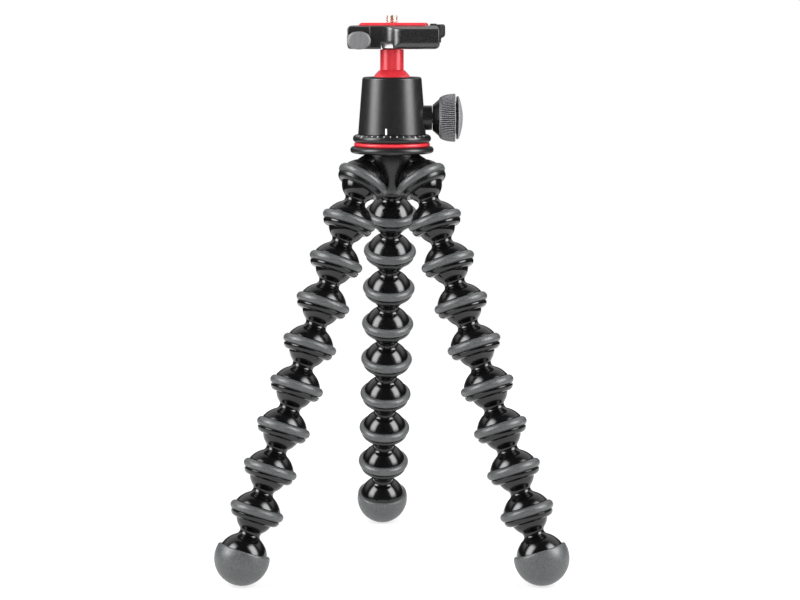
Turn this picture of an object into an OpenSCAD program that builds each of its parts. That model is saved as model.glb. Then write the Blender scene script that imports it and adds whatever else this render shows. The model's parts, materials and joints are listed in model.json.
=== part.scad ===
// Flexible leg tripod: three chains of ball-and-socket links on a moulded hub,
// a panning ball head, and a screw clamp that holds a dovetail camera plate.
// Millimetres, +Z up, floor at z = 0, origin under the middle of the standing box.
// The view from the front looks along +Y: the rear leg points to +Y.

/* [Leg chain] */
// Distance from one leg ball centre to the next
link_pitch = 23; // [22.5:0.5:28]
// Diameter of the ball on top of each link
leg_ball_d = 20; // [18:0.5:20.5]
// Wall of the socket dome around the ball
socket_wall = 3.15; // [2.6:0.05:3.4]
// Waist diameter between a ball and the dome below it
neck_d = 11.2; // [9.6:0.2:11.4]
// How far the waist's hollow runs up onto the ball and the dome
neck_blend = 1.4; // [1:0.1:1.8]
// Depth of the socket rim below the ball centre, which keeps the ball in
rim_drop = 3; // [2.6:0.1:3.4]
// Radius of the round outer edge of a socket rim
rim_round = 3; // [1.5:0.1:3]
// Angle of each leg from the vertical
leg_splay = 20.6; // [14:0.2:34]
// Sideways set of the two front legs, towards the front
front_leg_lean = 1.5; // [0:0.5:6]
// Sideways set of the rear leg, towards the left
rear_leg_lean = 4.9; // [0:0.1:8]

/* [Grip rings and feet] */
// How far a rubber grip ring stands out of its dome
grip_proud = 1.2; // [1:0.1:1.8]
// Height of a grip ring along the leg
grip_h = 4.9; // [3.6:0.1:5.2]
// Height of a grip ring's middle above the ball centre
grip_rise = 2.7; // [2.6:0.1:3.2]
// Depth of the groove that holds a grip ring
grip_seat_depth = 1.4; // [1.2:0.1:1.7]
// Wall of the rubber boot on each foot
boot_wall = 1.3; // [1.2:0.1:2.4]
// Height of the boot's rim above the middle of the foot
boot_rim_rise = 4.2; // [3:0.2:6]

/* [Hub] */
// Distance of the hub ball sockets from the column axis
hub_joint_r = 19.2; // [18:0.2:23]
// Angle of the hub sockets from the vertical
hub_socket_tilt = 35; // [32:1:40]
// Height of the hub's top face above its ball sockets
hub_rise = 15.9; // [15:0.1:19]
// Length of the hub's middle horn below its top face
hub_horn_h = 23; // [21:0.5:26]
// Diameter of the hub's neck under the disc
hub_neck_d = 28; // [26:0.5:31]
// Diameter of the horn where it leaves the neck
hub_horn_d = 27; // [25:0.5:27]
// Depth of the hollow in the horn's sides
horn_bow = 0.8; // [0.5:0.1:1.2]
// Diameter of the horn's lower tip
hub_tip_d = 5.2; // [4:0.2:6]
// Height of the straight neck at the top of the horn
hub_neck_h = 1.3; // [1:0.1:2]
// Radius of the rib that runs from each socket dome up to the neck
rib_r = 4.2; // [3.6:0.1:4.6]
// Height of a rib's lower end above the ball socket
rib_rise = 9.3; // [9:0.1:9.6]
// Slope of the ribs
rib_slope = 28; // [24:1:34]

/* [Hub disc and stud] */
// Diameter of the metal disc on the hub
disc_d = 44.6; // [43:0.2:50]
// Thickness of the metal disc
disc_t = 3.6; // [3:0.1:5]
// Diameter of the 3/8 inch stud that carries the head
stud_d = 9.525; // [9.525]
// Width across the flats of the stud's hexagon head
stud_head_af = 13; // [12:0.5:14]
// Height of the stud's hexagon head
stud_head_h = 4.4; // [3.5:0.1:5]
// Length of the stud above the disc
stud_len = 8; // [6:0.5:8]
// Diameter of the three screws that fasten the disc to the hub
disc_screw_d = 2.5; // [2:0.1:2.6]
// Radius of the circle of disc screws
disc_screw_r = 9.8; // [9.5:0.1:10]
// Length of the disc screws
disc_screw_len = 10; // [8:0.5:10]
// Head diameter of the disc screws
disc_screw_head_d = 4.4; // [3.6:0.1:4.6]
// Head height of the disc screws
disc_screw_head_h = 1.4; // [1:0.1:1.8]

/* [Pan base] */
// Diameter of the coloured trim ring
trim_d = 40.6; // [39:0.2:44]
// Thickness of the trim ring
trim_t = 2.1; // [1.6:0.1:3]
// Diameter of the pan base
pan_base_d = 41.8; // [40:0.2:45]
// Thickness of the pan base's flange
pan_base_t = 4.2; // [3.4:0.1:6]
// Diameter of the pan base's boss inside the trim ring
pan_boss_d = 24; // [20:0.5:28]
// Diameter of the spigot that the housing turns on
pan_spigot_d = 18; // [16:0.5:19]
// Diameter of the spigot's reduced top that takes the retaining ring
pan_pilot_d = 14; // [13:0.5:14.5]
// Thickness of the retaining ring
pan_ring_t = 1.5; // [1.2:0.1:1.6]
// Thickness of the friction washer under the retaining ring
pan_washer_t = 0.4; // [0.3:0.1:0.6]

/* [Ball head] */
// Outer diameter of the housing at its foot
housing_d_foot = 36.2; // [35:0.2:40]
// Outer diameter of the housing at its top
housing_d_top = 31.7; // [31:0.1:35]
// Height of the housing
housing_h = 30.3; // [29.5:0.1:36]
// Radius of the housing's rounded top edge
housing_edge_r = 1.4; // [0.8:0.1:2]
// Thickness of the ring that closes the housing from below
floor_ring_t = 2.1; // [1.8:0.1:2.6]
// Diameter of that closing ring
floor_ring_d = 26; // [24.5:0.5:27]
// Diameter of the head's ball
head_ball_d = 22; // [21:0.2:22.6]
// Depth of the head ball's centre below the housing's top
head_ball_sink = 5.2; // [4.8:0.1:6]
// Wall between the ball's bore and the floor of the ball seat
seat_floor = 1.3; // [1:0.1:2]
// Drop of the seat's rim below the ball centre, clear of the stem
seat_rim_drop = 7.2; // [7:0.1:8]
// Diameter of the stem on the ball
stem_d = 12.5; // [11:0.1:13]
// Length of the stem from the ball centre to its top
stem_len = 19.7; // [18.5:0.1:26]
// Room beside the stem in the portrait notch
notch_room = 0.5; // [0.3:0.1:1]
// Height of the bright collar between the stem and the clamp
collar_h = 3.6; // [3.4:0.1:6]
// Diameter of the bright collar
collar_d = 12.2; // [10.5:0.1:13]

/* [Lock knob] */
// Wall of the wedge block above and below the lock spindle
wedge_wall = 1; // [0.8:0.1:1.4]
// Diameter of the boss on the housing
boss_d = 13.1; // [11:0.1:15]
// Reach of the boss from the column axis
boss_reach = 21.4; // [20:0.1:24]
// Gap between the boss and the knob
knob_gap = 0.3; // [0.2:0.1:0.6]
// Length of the knob's plain cone next to the boss
knob_cone_l = 3.4; // [3:0.1:5]
// Diameter of the cone's small end
knob_small_d = 13.6; // [13:0.2:17]
// Diameter of the knob where the grip starts
knob_mid_d = 19.6; // [18.6:0.2:21]
// Radius of the grip's round shoulder next to the cone
knob_shoulder_r = 1.6; // [1:0.1:2.4]
// Largest diameter of the grip, at its outer end
knob_big_d = 25.6; // [24.6:0.2:27]
// Length of the knob's grip
knob_grip_l = 8.7; // [7:0.1:11]
// Diameter of the knob's core inside the grip
knob_core_d = 17; // [15:0.2:18]
// Width of the groove between the grip and the cap
knob_groove_l = 0.6; // [0.4:0.1:1]
// Diameter of the end cap
cap_d = 23; // [21:0.2:24]
// Length of the domed end cap
cap_l = 2.8; // [2:0.1:3.5]
// Room between the wedge block and the retaining ring below it
wedge_room = 0.5; // [0.3:0.1:0.6]
// Diameter of the wedge block
wedge_d = 18; // [16:0.5:20]

/* [Clamp] */
// Turn of the clamp on the ball as it stands
clamp_yaw = -3; // [-6:1:6]
// Length of the clamp along the dovetail
clamp_l = 48.5; // [46:0.5:54]
// Set of the clamp's middle to the right of the column
clamp_shift = 1.75; // [1:0.25:2.5]
// Reach of the clamp's back face behind the column
clamp_back = 23.5; // [22.5:0.5:27]
// Reach of the jaw's front face before the column
clamp_front = 24.5; // [24:0.5:28]
// Thickness of the clamp's floor
clamp_floor = 4.3; // [4.2:0.1:6]
// Height of the jaws above the floor's underside
clamp_h = 9.1; // [8.6:0.1:9.6]
// Drop of the jaw's ends below the floor's underside
skirt_drop = 3.2; // [2.4:0.1:3.4]
// Corner radius of the clamp's outline
clamp_corner_r = 2.6; // [1.5:0.1:3]
// Set of the floor's front edge behind the dovetail's narrow part
slab_set = 1.1; // [0.8:0.1:1.5]
// Width of the gap between the jaw and the floor, for clamping
jaw_gap = 0.6; // [0.4:0.1:1]
// Thickness of the jaw's wall behind the thumb knob
jaw_wall = 4; // [3.8:0.1:5]
// Right end of the pocket for the thumb knob
pocket_right = -8; // [-9:0.5:-7]
// Left end of the arch under the jaw
arch_left = -4.7; // [-5.5:0.1:-3]
// Right end of the arch under the jaw
arch_right = 1.6; // [0:0.1:3]
// Radius of the finger hollow in the jaw
hollow_r = 6.2; // [5.8:0.1:6.6]
// Middle of the finger hollow
hollow_x = -4.5; // [-5:0.1:-4]
// Set of the hollow's middle before the jaw's face
hollow_out = 1; // [0.6:0.1:2]
// Diameter of the jaw's guide pins
guide_pin_d = 2.6; // [2:0.2:3]
// Place of the inner guide pin along the clamp
guide_pin_near_x = 9; // [6:0.5:12]
// Place of the outer guide pin along the clamp
guide_pin_far_x = 20; // [17:0.5:21]
// Depth of the guide pins in the jaw
guide_pin_in = 5.5; // [4:0.5:7]
// Depth of the guide pins in the floor
guide_pin_out = 10; // [8:0.5:12]

/* [Clamp screw and thumb knob] */
// Place of the clamp screw along the clamp
screw_x = -16; // [-16.5:0.5:-15.5]
// Height of the clamp screw above the floor's underside
screw_z = 1.3; // [1:0.1:1.5]
// Diameter of the clamp screw
clamp_screw_d = 5; // [4:0.5:5]
// Reach of the clamp screw past the column axis
clamp_screw_back = 5; // [3:0.5:8]
// Width of the thumb knob
thumb_w = 12.4; // [11:0.2:13]
// Height of the thumb knob
thumb_h = 9.3; // [8:0.1:10]
// Height of the thumb knob's straight ends
thumb_end_h = 4.8; // [3:0.2:6]
// Depth of the thumb knob
thumb_l = 4.4; // [4:0.1:6]
// Radius of the thumb knob's crowned face
thumb_crown_r = 16; // [14:1:24]
// Gap between the thumb knob and the jaw's wall
thumb_gap = 0.2; // [0.1:0.1:0.4]

/* [Clamp bolt and level] */
// Diameter of the bolt that holds the clamp on the stem
clamp_bolt_d = 5; // [4:0.5:5]
// Head diameter of the clamp bolt
clamp_bolt_head_d = 9; // [7.5:0.5:9.5]
// Head height of the clamp bolt
clamp_bolt_head_h = 2.4; // [2:0.1:2.6]
// Length of the clamp bolt in the stem
clamp_bolt_in = 10; // [8:0.5:12]
// Diameter of the round boss that holds the level
level_boss_d = 8.2; // [7.4:0.2:9]
// Reach of the level's boss past the clamp's right end
level_reach = 2.2; // [1.8:0.1:2.6]
// Place of the level across the clamp
level_y = 4; // [0:1:8]
// Height of the level's boss
level_boss_h = 7.6; // [7:0.1:8.4]
// Height of the boss top above the jaws
level_top_rise = 1; // [0.4:0.1:1.4]
// Wall of the level's boss
level_wall = 1; // [0.8:0.1:1.4]
// Floor of the level's boss
level_floor = 1.6; // [1.2:0.1:2.4]

/* [Camera plate] */
// Width of the dovetail at its widest
plate_w = 38; // [36:0.2:38.4]
// Depth of each sloping dovetail flank, which is at 45 degrees
plate_flank = 2.5; // [2:0.1:2.8]
// Height of the plate's lower edge below the flank
plate_edge_h = 1; // [0.8:0.1:1.2]
// Thickness of the plate
plate_t = 6.15; // [5.8:0.05:8]
// Length of the plate along the dovetail
plate_l = 35.6; // [30:0.2:36]
// Set of the plate's middle to the right of the column
plate_shift = 0.9; // [0:0.1:0.9]
// Width of each rubber pad strip
pad_w = 6; // [4:0.5:7]
// Thickness of the rubber pad strips
pad_t = 0.8; // [0.6:0.1:1.4]
// Distance of a pad's middle from the camera screw
pad_y = 10.5; // [9.5:0.5:11]
// Margin at the ends of the pad strips
pad_margin = 3; // [2:0.5:5]
// Diameter of the 1/4 inch camera screw
camera_screw_d = 6.35; // [6.35]
// Height of the camera screw above the plate
camera_screw_rise = 3.9; // [3.5:0.1:5]
// Diameter of the screw's neck in the plate, under its thread
camera_neck_d = 4.8; // [4:0.1:5.2]
// Head diameter of the camera screw
camera_head_d = 11; // [10:0.5:12]
// Head height of the camera screw
camera_head_h = 2.2; // [1.8:0.1:2.6]
// Width of the slot in the camera screw's head
camera_slot_w = 1.6; // [1.2:0.1:2]
// Depth of the slot in the camera screw's head
camera_slot_depth = 1.2; // [0.8:0.1:1.4]

/* [Clearances] */
// Gap between a ball and its socket
socket_gap = 0.15; // [0.1:0.05:0.2]
// Gap between pieces that are fitted together
fit_gap = 0.05; // [0.03:0.01:0.08]
// Gap around the pan bearing and the screws that turn
turn_gap = 0.06; // [0.04:0.01:0.1]
// Gap between the housing and the pan base
pan_gap = 0.3; // [0.2:0.05:0.4]
// Gap beside the dovetail
slide_gap = 0.15; // [0.1:0.05:0.2]
// Gap between fitted bolts and their through holes
hole_gap = 0.2; // [0.1:0.05:0.3]

/* [Hidden] */
$fn = 72;
crown_fn = 200;
hex_sides = 6;
link_count = 8;
leg_names = ["left", "right", "rear"];
rear_az = 90;
hub_az = [for (i = [1:3]) rear_az + i * 360 / 3];
leg_az = [
  hub_az[0] + front_leg_lean,
  hub_az[1] - front_leg_lean,
  hub_az[2] + rear_leg_lean
];
over = 1;
far = 100;
waist_bow = 1.1;
waist_flare = 1 / 4;

black = "#1b1c1e";
dark_metal = "#2b2c2f";
rubber_grey = "#6f7274";
red = "#d3202c";
knob_grey = "#8b8d90";
steel = "#c4c6c8";
brass = "#c9a767";
nylon = "#ddd8ca";
fluid = "#c8d94a";

leg_ball_r = leg_ball_d / 2;
socket_r = leg_ball_r + socket_gap;
dome_r = socket_r + socket_wall;
grip_r = dome_r + grip_proud;
groove_r = dome_r - grip_seat_depth;
neck_r = neck_d / 2;
neck_top = sqrt(leg_ball_r * leg_ball_r - neck_r * neck_r);
neck_bottom = link_pitch - sqrt(dome_r * dome_r - neck_r * neck_r);
waist_z = (neck_top + neck_bottom) / 2;
waist_half = (neck_bottom - neck_top) / 2 + neck_blend;
waist_r = waist_bow * waist_half;
waist_out_r = neck_r + waist_flare * waist_r;
rim_z = rim_round - rim_drop;
rim_r = sqrt(pow(dome_r - rim_round, 2) - rim_z * rim_z);
foot_r = dome_r + fit_gap + boot_wall;
leg_len = (link_count + 1) * link_pitch;

hub_z = foot_r + leg_len * cos(leg_splay);
foot_out = leg_len * sin(leg_splay);
front_foot_y = hub_joint_r * sin(hub_az[0]) + foot_out * sin(leg_az[0]);
rear_foot_y = hub_joint_r * sin(hub_az[2]) + foot_out * sin(leg_az[2]);
column_y = -(front_foot_y + rear_foot_y) / 2;

disc_z = hub_z + hub_rise;
trim_z = disc_z + disc_t;
pan_base_z = trim_z + trim_t;
pan_top_z = pan_base_z + pan_base_t;
housing_z = pan_top_z + pan_gap;
housing_top_z = housing_z + housing_h;
floor_top_z = housing_z + floor_ring_t;
pan_shoulder_z = floor_top_z + pan_washer_t + 2 * fit_gap;
ball_z = housing_top_z - head_ball_sink;
stem_top_z = ball_z + stem_len;
clamp_z = stem_top_z + collar_h;

head_ball_r = head_ball_d / 2;
cavity_r = head_ball_r + socket_gap;
bore_r = cavity_r + 2 * fit_gap;
seat_bottom_z = ball_z - cavity_r - seat_floor;
wedge_top_z = seat_bottom_z - fit_gap;
wedge_z = pan_shoulder_z + pan_ring_t + wedge_room;
lock_z = (wedge_z + wedge_top_z) / 2;
spindle_d = wedge_top_z - wedge_z - 2 * wedge_wall;
spindle_tip_l = spindle_d / 4;
spindle_x = spindle_tip_l;

clamp_left = clamp_shift - clamp_l / 2;
clamp_right = clamp_shift + clamp_l / 2;
channel_z = clamp_floor;
plate_z = clamp_floor + fit_gap;
plate_top_z = plate_z + plate_t;
slab_front = plate_w / 2 - plate_flank - slab_set;
jaw_back = slab_front + jaw_gap;
wall_front = jaw_back + jaw_wall;
level_x = clamp_right + level_reach - level_boss_d / 2;
level_top_z = clamp_h + level_top_rise;
knob_x = boss_reach + knob_gap;
grip_x = knob_x + knob_cone_l;
groove_x = grip_x + knob_grip_l;
cap_x = groove_x + knob_groove_l;

// Joint centres and directions

function hub_joint(i) = [
  hub_joint_r * cos(hub_az[i]),
  hub_joint_r * sin(hub_az[i]),
  hub_z
];
function leg_dir(i) = [
  sin(leg_splay) * cos(leg_az[i]),
  sin(leg_splay) * sin(leg_az[i]),
  -cos(leg_splay)
];

module at_column() {
  translate([0, column_y, 0]) children();
}

module at_hub_socket(i) {
  at_column() translate(hub_joint(i)) rotate([0, -hub_socket_tilt, hub_az[i]]) children();
}

// Frame of the k-th link below the hub, with the link's ball at its origin
module at_link(i, k) {
  at_column() translate(hub_joint(i) + (k - 1) * link_pitch * leg_dir(i))
    rotate([0, -leg_splay, leg_az[i]]) children();
}

module at_clamp() {
  at_column() translate([0, 0, clamp_z]) rotate([0, 0, clamp_yaw]) children();
}

// Lays a cylinder's axis along +X from its own foot
module along_x() {
  rotate([0, 90, 0]) children();
}

// Lays an extrusion's height along +Y, with the outline upright
module along_y() {
  rotate([90, 0, 0]) mirror([0, 0, 1]) children();
}

module rounded_rect(x0, x1, y0, y1, r) {
  translate([x0 + r, y0]) square([x1 - x0 - 2 * r, y1 - y0]);
  translate([x0, y0 + r]) square([x1 - x0, y1 - y0 - 2 * r]);
  for (x = [x0 + r, x1 - r])
    for (y = [y0 + r, y1 - r])
      translate([x, y]) circle(r);
}

module ring(r_in, r_out, h) {
  difference() {
    cylinder(h = h, r = r_out);
    translate([0, 0, -over]) cylinder(h = h + 2 * over, r = r_in);
  }
}

// Disc with a fully rounded rim
module round_disc(r, h) {
  rotate_extrude() {
    square([r - h / 2, h]);
    translate([r - h / 2, h / 2]) circle(h / 2);
  }
}

// Ball sockets of the hub and the links

// Half outline of a socket dome: an arc down to the rim's round edge
module dome_outline() {
  intersection() {
    circle(dome_r);
    polygon([[0, 0], [rim_r, rim_z] * dome_r, [dome_r * dome_r, dome_r], [0, dome_r]]);
  }
  translate([rim_r, rim_z]) circle(rim_round);
  translate([0, -rim_drop]) square([rim_r, rim_drop]);
}

// Ball hollow and the groove for a grip ring
module socket_cut() {
  sphere(socket_r);
  rotate_extrude()
    translate([groove_r, grip_rise - grip_h / 2 - fit_gap])
      square([grip_r, grip_h + 2 * fit_gap]);
}

module grip_ring() {
  crown_x = grip_r - grip_h / 2;
  color(rubber_grey) rotate_extrude() intersection() {
    translate([groove_r + fit_gap, grip_rise - grip_h / 2]) square(grip_h);
    union() {
      translate([0, grip_rise - grip_h / 2]) square([crown_x, grip_h]);
      translate([crown_x, grip_rise]) circle(grip_h / 2);
    }
  }
}

// Ball and hollowed waist, with the ball at the origin
module ball_and_waist() {
  sphere(leg_ball_r);
  translate([0, 0, -waist_z]) rotate_extrude() difference() {
    translate([0, -waist_half]) square([waist_out_r, 2 * waist_half]);
    translate([neck_r + waist_r, 0]) circle(waist_r);
  }
}

module link_body() {
  color(black) difference() {
    union() {
      ball_and_waist();
      translate([0, 0, -link_pitch]) rotate_extrude() dome_outline();
    }
    translate([0, 0, -link_pitch]) socket_cut();
  }
}

module link(i, k) {
  at_link(i, k) {
    link_body();
    translate([0, 0, -link_pitch]) grip_ring();
  }
}

module foot(i) {
  at_link(i, link_count + 1) color(black) {
    ball_and_waist();
    translate([0, 0, -link_pitch]) sphere(dome_r);
  }
}

module boot(i) {
  at_link(i, link_count + 1) translate([0, 0, -link_pitch])
    color(rubber_grey) difference() {
      sphere(foot_r);
      sphere(dome_r + fit_gap);
      translate([0, 0, boot_rim_rise]) cylinder(h = foot_r, r = foot_r);
    }
}

// Hub

// Straight neck, and below it a horn whose sides are hollowed by a flat arc
module hub_horn() {
  tip_r = hub_tip_d / 2;
  top_r = hub_horn_d / 2;
  horn_h = hub_horn_h - hub_neck_h;
  chord = norm([top_r - tip_r, horn_h]);
  arc_r = chord * chord / (8 * horn_bow) + horn_bow / 2;
  outward = [horn_h, tip_r - top_r] / chord;
  middle = [tip_r + top_r, horn_h] / 2;
  translate([0, 0, disc_z - hub_horn_h]) rotate_extrude() {
    translate([0, horn_h]) square([hub_neck_d / 2, hub_neck_h]);
    difference() {
      polygon([[0, 0], [tip_r, 0], [top_r, horn_h], [0, horn_h]]);
      translate(middle + outward * (arc_r - horn_bow)) circle(arc_r, $fn = crown_fn);
    }
  }
}

module hub_rib(i) {
  at_column() translate(hub_joint(i)) rotate(hub_az[i]) translate([0, 0, rib_rise])
    rotate([0, rib_slope - 90, 0]) cylinder(h = hub_joint_r, r = rib_r);
}

module hub_body() {
  color(black) difference() {
    union() {
      at_column() hub_horn();
      for (i = [0:2]) {
        at_hub_socket(i) rotate_extrude() dome_outline();
        hub_rib(i);
      }
    }
    at_column() translate([0, 0, disc_z]) cylinder(h = far, r = far);
    for (i = [0:2]) at_hub_socket(i) socket_cut();
    at_column() stud_head(fit_gap, over);
    at_column() disc_screw_shanks(fit_gap, over);
  }
}

module hub_grip_rings() {
  for (i = [0:2]) at_hub_socket(i) grip_ring();
}

module hub_disc() {
  color(dark_metal) at_column() difference() {
    translate([0, 0, disc_z]) round_disc(disc_d / 2, disc_t);
    translate([0, 0, disc_z - over]) cylinder(h = disc_t + 2 * over, r = stud_d / 2 + fit_gap);
    disc_screw_shanks(fit_gap, over);
    disc_screw_heads(fit_gap, over);
  }
}

// Hexagon head of the stud, in the hub's pocket under the disc
module stud_head(gap, extra) {
  head_r = stud_head_af / 2 / cos(180 / hex_sides);
  translate([0, 0, disc_z - stud_head_h - gap])
    cylinder(h = stud_head_h + gap + extra, r = head_r + gap, $fn = hex_sides);
}

module hub_stud() {
  color(steel) at_column() {
    stud_head(0, 0);
    translate([0, 0, disc_z - over]) cylinder(h = disc_t + stud_len + over, d = stud_d);
  }
}

module at_disc_screws() {
  for (a = hub_az) rotate(a) translate([disc_screw_r, 0, trim_z]) children();
}

module disc_screw_shanks(gap, extra) {
  at_disc_screws() translate([0, 0, -disc_screw_len - gap])
    cylinder(h = disc_screw_len + gap + extra, r = disc_screw_d / 2 + gap);
}

module disc_screw_heads(gap, extra) {
  at_disc_screws() translate([0, 0, -disc_screw_head_h - gap])
    cylinder(h = disc_screw_head_h + gap + extra, r = disc_screw_head_d / 2 + gap);
}

module disc_screws() {
  color(steel) at_column() {
    disc_screw_shanks(0, 0);
    disc_screw_heads(0, 0);
  }
}

// Pan base

module trim_ring() {
  color(red) at_column() translate([0, 0, trim_z]) difference() {
    round_disc(trim_d / 2, trim_t);
    translate([0, 0, -over]) cylinder(h = trim_t + 2 * over, r = pan_boss_d / 2 + fit_gap);
  }
}

module pan_base() {
  color(dark_metal) at_column() difference() {
    union() {
      translate([0, 0, trim_z]) cylinder(h = trim_t + over, d = pan_boss_d);
      translate([0, 0, pan_base_z]) round_disc(pan_base_d / 2, pan_base_t);
      translate([0, 0, pan_base_z + over])
        cylinder(h = pan_shoulder_z - pan_base_z - over, d = pan_spigot_d);
      translate([0, 0, pan_base_z + over])
        cylinder(h = pan_shoulder_z + pan_ring_t - pan_base_z - over, d = pan_pilot_d);
    }
    translate([0, 0, trim_z - over])
      cylinder(h = stud_len + fit_gap + over, r = stud_d / 2 + fit_gap);
  }
}

module pan_retaining_ring() {
  color(steel) at_column() translate([0, 0, pan_shoulder_z])
    ring(pan_pilot_d / 2 + fit_gap, bore_r - hole_gap, pan_ring_t);
}

module pan_washer() {
  color(nylon) at_column() translate([0, 0, floor_top_z + fit_gap])
    ring(pan_spigot_d / 2 + turn_gap, bore_r - hole_gap, pan_washer_t);
}

// Ball head

module housing_outline() {
  edge_x = housing_d_top / 2 - housing_edge_r;
  edge_z = housing_h - housing_edge_r;
  polygon([
    [0, 0],
    [housing_d_foot / 2, 0],
    [housing_d_top / 2, edge_z],
    [edge_x, housing_h],
    [0, housing_h]
  ]);
  translate([edge_x, edge_z]) circle(housing_edge_r);
}

// Slot in the rear wall that lets the stem drop flat for portrait pictures
module portrait_notch() {
  slot_r = stem_d / 2 + notch_room;
  along_y() cylinder(h = housing_d_foot, r = slot_r);
  translate([-slot_r, 0, 0]) cube([2 * slot_r, housing_d_foot, head_ball_sink + over]);
}

module ball_housing() {
  color(dark_metal) at_column() difference() {
    union() {
      translate([0, 0, housing_z]) rotate_extrude() housing_outline();
      translate([0, 0, lock_z]) along_x() cylinder(h = boss_reach, d = boss_d);
    }
    translate([0, 0, ball_z]) sphere(cavity_r);
    translate([0, 0, housing_z - over]) cylinder(h = ball_z - housing_z + over, r = bore_r);
    translate([0, 0, housing_z - over])
      cylinder(h = floor_ring_t + fit_gap + over, r = floor_ring_d / 2 + fit_gap);
    translate([0, 0, ball_z]) portrait_notch();
    translate([0, 0, lock_z]) along_x()
      cylinder(h = boss_reach + over, r = spindle_d / 2 + turn_gap);
  }
}

module housing_floor_ring() {
  color(dark_metal) at_column() translate([0, 0, housing_z])
    ring(pan_spigot_d / 2 + turn_gap, floor_ring_d / 2, floor_ring_t);
}

module ball_seat() {
  color(nylon) at_column() difference() {
    translate([0, 0, seat_bottom_z])
      cylinder(h = ball_z - seat_rim_drop - seat_bottom_z, r = bore_r - 2 * fit_gap);
    translate([0, 0, ball_z]) sphere(cavity_r);
  }
}

module lock_wedge() {
  color(brass) at_column() difference() {
    translate([0, 0, wedge_z]) cylinder(h = wedge_top_z - wedge_z, d = wedge_d);
    translate([spindle_x, 0, lock_z]) along_x()
      cylinder(h = wedge_d, r = spindle_d / 2 + turn_gap);
  }
}

module ball_stem() {
  color(red) at_column() difference() {
    union() {
      translate([0, 0, ball_z]) sphere(head_ball_r);
      translate([0, 0, ball_z]) cylinder(h = stem_len, d = stem_d);
    }
    translate([0, 0, stem_top_z - clamp_bolt_in - fit_gap])
      cylinder(h = clamp_bolt_in + fit_gap + over, r = clamp_bolt_d / 2 + fit_gap);
  }
}

module stem_collar() {
  color(steel) at_column() translate([0, 0, stem_top_z])
    ring(clamp_bolt_d / 2 + fit_gap, collar_d / 2, collar_h);
}

// Lock knob, with its axis along +X

module lock_spindle() {
  tip_x = spindle_x + turn_gap;
  shank_x = tip_x + spindle_tip_l;
  color(steel) at_column() translate([0, 0, lock_z]) along_x() {
    translate([0, 0, tip_x])
      cylinder(h = spindle_tip_l, d1 = spindle_d / 2, d2 = spindle_d);
    translate([0, 0, shank_x]) cylinder(h = groove_x - shank_x, d = spindle_d);
  }
}

module lock_knob() {
  color(black) at_column() translate([0, 0, lock_z]) along_x() difference() {
    union() {
      translate([0, 0, knob_x]) cylinder(h = knob_cone_l, d1 = knob_small_d, d2 = knob_mid_d);
      translate([0, 0, grip_x - over]) cylinder(h = cap_x - grip_x + over, d = knob_core_d);
    }
    translate([0, 0, knob_x - over])
      cylinder(h = groove_x - knob_x + fit_gap + over, r = spindle_d / 2 + fit_gap);
  }
}

module lock_knob_grip() {
  core_r = knob_core_d / 2 + fit_gap;
  mid_r = knob_mid_d / 2;
  color(knob_grey) at_column() translate([grip_x, 0, lock_z]) along_x() rotate_extrude() {
    polygon([
      [core_r, 0],
      [mid_r, 0],
      [mid_r, knob_shoulder_r],
      [mid_r + knob_shoulder_r, knob_shoulder_r],
      [knob_big_d / 2, knob_grip_l],
      [core_r, knob_grip_l]
    ]);
    intersection() {
      translate([mid_r, knob_shoulder_r]) circle(knob_shoulder_r);
      translate([core_r, 0]) square(knob_big_d);
    }
  }
}

// Shallow dome: a slice of a ball on a short round edge
module lock_knob_cap() {
  edge_l = cap_l / 2;
  dome_h = cap_l - edge_l;
  crown_r = (cap_d * cap_d / 4 + dome_h * dome_h) / (2 * dome_h);
  color(black) at_column() translate([cap_x, 0, lock_z]) along_x() intersection() {
    cylinder(h = cap_l, d = cap_d);
    translate([0, 0, cap_l - crown_r]) sphere(crown_r, $fn = crown_fn);
  }
}

// Clamp, in the clamp's own frame: x along the dovetail, z from the floor's underside

// Outline of the dovetail, seen along x, with room beside it
module dovetail_outline(gap, top) {
  foot_y = plate_w / 2 + gap;
  neck_y = foot_y - plate_flank;
  flank_z = plate_edge_h + plate_flank;
  polygon([
    [-foot_y, 0],
    [foot_y, 0],
    [foot_y, plate_edge_h],
    [neck_y, flank_z],
    [neck_y, top],
    [-neck_y, top],
    [-neck_y, flank_z],
    [-foot_y, plate_edge_h]
  ]);
}

// Runs an outline in y and z along x
module sweep_x(x0, x1) {
  translate([x0, 0, 0]) rotate([90, 0, 90]) linear_extrude(x1 - x0) children();
}

module dovetail_channel() {
  translate([0, 0, channel_z])
    sweep_x(clamp_left - over, clamp_right + over) dovetail_outline(slide_gap, clamp_h);
}

module guide_pin_holes(gap) {
  for (x = [guide_pin_near_x, guide_pin_far_x])
    translate([x, -jaw_back - guide_pin_in - gap, clamp_floor / 2]) along_y()
      cylinder(h = guide_pin_in + jaw_gap + guide_pin_out + 2 * gap, r = guide_pin_d / 2 + gap);
}

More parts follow.
